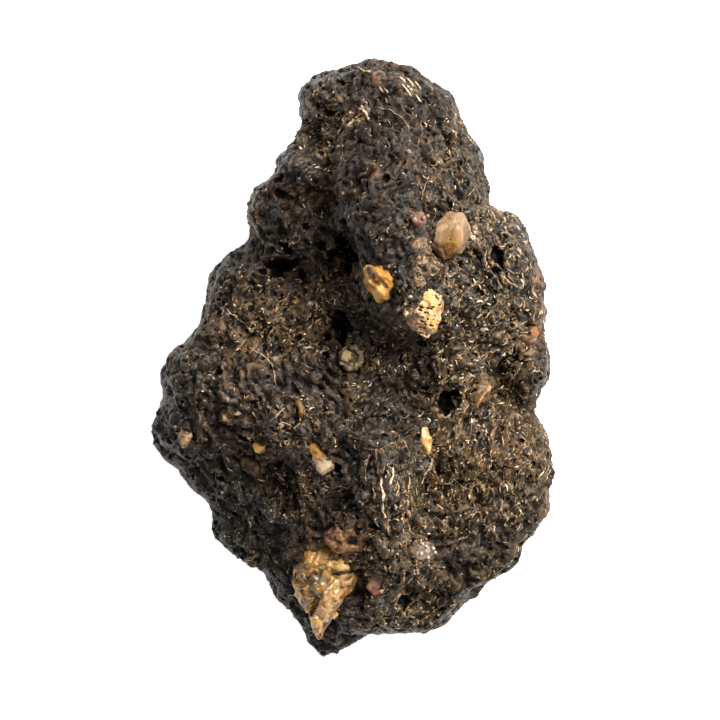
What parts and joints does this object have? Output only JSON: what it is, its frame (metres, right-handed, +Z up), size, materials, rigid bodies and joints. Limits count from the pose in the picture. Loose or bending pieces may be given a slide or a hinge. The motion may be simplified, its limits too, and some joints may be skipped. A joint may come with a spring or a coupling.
{
  "type": "impactite",
  "caption": "Lump of frothy dark impactite with a raised ridge, gas-bubble pits and pale and amber mineral grains set in it.",
  "frame": {"origin": "on the resting plane, under the middle of the plan's bounding box", "axes": "+Z up from the side that the lump rests on, +Y along its long axis towards the narrow crown, +X across it"},
  "size_m": [0.0404, 0.0598, 0.0288],
  "materials": {
    "melt_rock": "rough vesicular glass and rock, matt to slightly glassy",
    "amber_quartz": "translucent honey-brown quartz, glassy on its broken faces",
    "pale_quartz": "pale, cloudy quartz, smooth and slightly glassy",
    "porous_feldspar": "chalky white and orange feldspar, full of pores",
    "tan_grain": "sugary tan mineral grains, matt",
    "russet_grain": "crumbly red-brown altered grains, matt",
    "bubble_lining": "thin pale crust, matt"
  },
  "bodies": {
    "root": {"melt_rock": "melt_rock", "amber_clast": "amber_quartz", "honey_clast": "amber_quartz", "small_amber_clast": "amber_quartz", "splinter_clast": "amber_quartz", "smooth_quartz_clast": "pale_quartz", "white_clast": "pale_quartz", "cream_clast": "pale_quartz", "milky_clast": "pale_quartz", "porous_clast": "porous_feldspar", "wedge_clast": "tan_grain", "edge_clast": "tan_grain", "shoulder_clast": "tan_grain", "rim_clast": "tan_grain", "crown_clast": "russet_grain", "russet_clast": "russet_grain", "crumbly_clast": "russet_grain", "hollow_clast": "russet_grain", "pink_clast": "russet_grain", "bubble_lining": "bubble_lining"}
  },
  "joints": []
}
